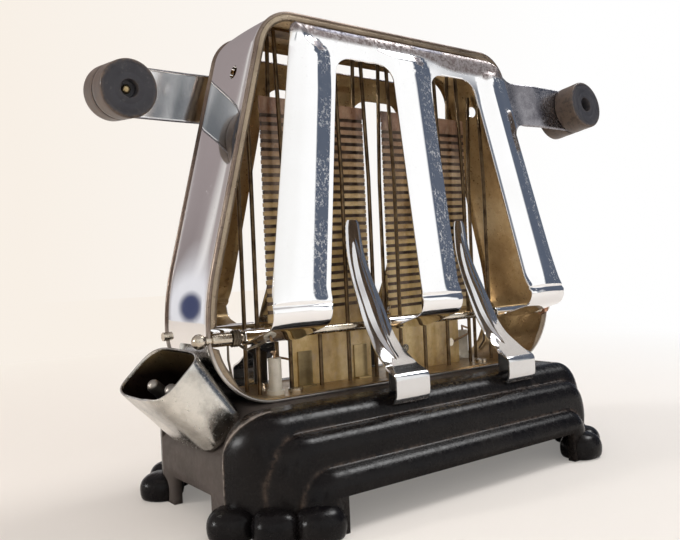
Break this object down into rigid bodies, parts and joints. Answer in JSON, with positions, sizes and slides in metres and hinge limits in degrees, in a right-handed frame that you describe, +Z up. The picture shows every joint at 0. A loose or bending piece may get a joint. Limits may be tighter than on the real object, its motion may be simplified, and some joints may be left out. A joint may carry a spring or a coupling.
{
  "type": "electric toaster",
  "caption": "Electric toaster with a chromed hoop frame, two spring-closed swing doors with round knobs, wound mica heating cards, guard wires and a stepped cast base on toed feet.",
  "frame": {"origin": "centre of the overall box at table level, under the middle of the hoop", "axes": "+X along the toaster's length, the appliance inlet at -X; -Y towards the front door; +Z up"},
  "size_m": [0.2696, 0.139, 0.2205],
  "materials": {
    "black_enamel": "gloss black enamel, worn on the edges",
    "dark_plate": "matte black",
    "chrome": "bright nickel chrome, lightly scratched",
    "screw_steel": "plain steel",
    "nut_copper": "copper-coloured, dull",
    "spring_steel": "dark oxidised steel wire",
    "knob_plastic": "dark brown-black moulded resin",
    "brass": "dull brass",
    "guard_wire": "heat-browned steel wire",
    "mica": "pearly brown mica",
    "ribbon": "heat-browned resistance ribbon",
    "ceramic": "cream glazed ceramic",
    "lead_copper": "copper wire, heat-browned",
    "cup_nickel": "dull nickel plate, brass showing inside",
    "block_resin": "dark moulded resin",
    "pin_steel": "nickel-plated brass"
  },
  "bodies": {
    "frame": {"base_casting": "black_enamel", "bottom_plate": "dark_plate", "bottom_plate_screws": "screw_steel", "frame_hoop": "chrome", "hoop_screws": "screw_steel", "front_hinge_rod": "screw_steel", "rear_hinge_rod": "screw_steel", "hinge_nuts": "nut_copper", "hinge_spacers": "screw_steel", "front_door_spring": "spring_steel", "rear_door_spring": "spring_steel", "front_left_slide": "chrome", "front_right_slide": "chrome", "rear_left_slide": "chrome", "rear_right_slide": "chrome", "front_guard_wires": "guard_wire", "rear_guard_wires": "guard_wire", "guard_top_rail": "guard_wire", "left_mica_card": "mica", "right_mica_card": "mica", "left_heating_ribbon": "ribbon", "right_heating_ribbon": "ribbon", "card_brackets": "brass", "terminal_screws": "screw_steel", "lead_posts": "ceramic", "lead_wires": "lead_copper", "connector_cup": "cup_nickel", "connector_block": "block_resin", "contact_pins": "pin_steel"},
    "front_door": {"front_door": "chrome", "front_knob_outer_disc": "knob_plastic", "front_knob_inner_disc": "knob_plastic", "front_knob_rivet": "brass"},
    "rear_door": {"rear_door": "chrome", "rear_knob_outer_disc": "knob_plastic", "rear_knob_inner_disc": "knob_plastic", "rear_knob_rivet": "brass"}
  },
  "joints": [
    {"name": "front_door_hinge", "type": "hinge", "parent": "frame", "child": "front_door", "pos_m": [0, -0.0206, 0.0766], "axis": [1, 0, 0], "range_deg": [0, 88], "stiffness_Nm_per_rad": 0.05, "springref_deg": -45.84, "deforming": ["front_door_spring"]},
    {"name": "rear_door_hinge", "type": "hinge", "parent": "frame", "child": "rear_door", "pos_m": [0, 0.0206, 0.0766], "axis": [-1, 0, 0], "range_deg": [0, 88], "stiffness_Nm_per_rad": 0.05, "springref_deg": -45.84, "deforming": ["rear_door_spring"]}
  ]
}
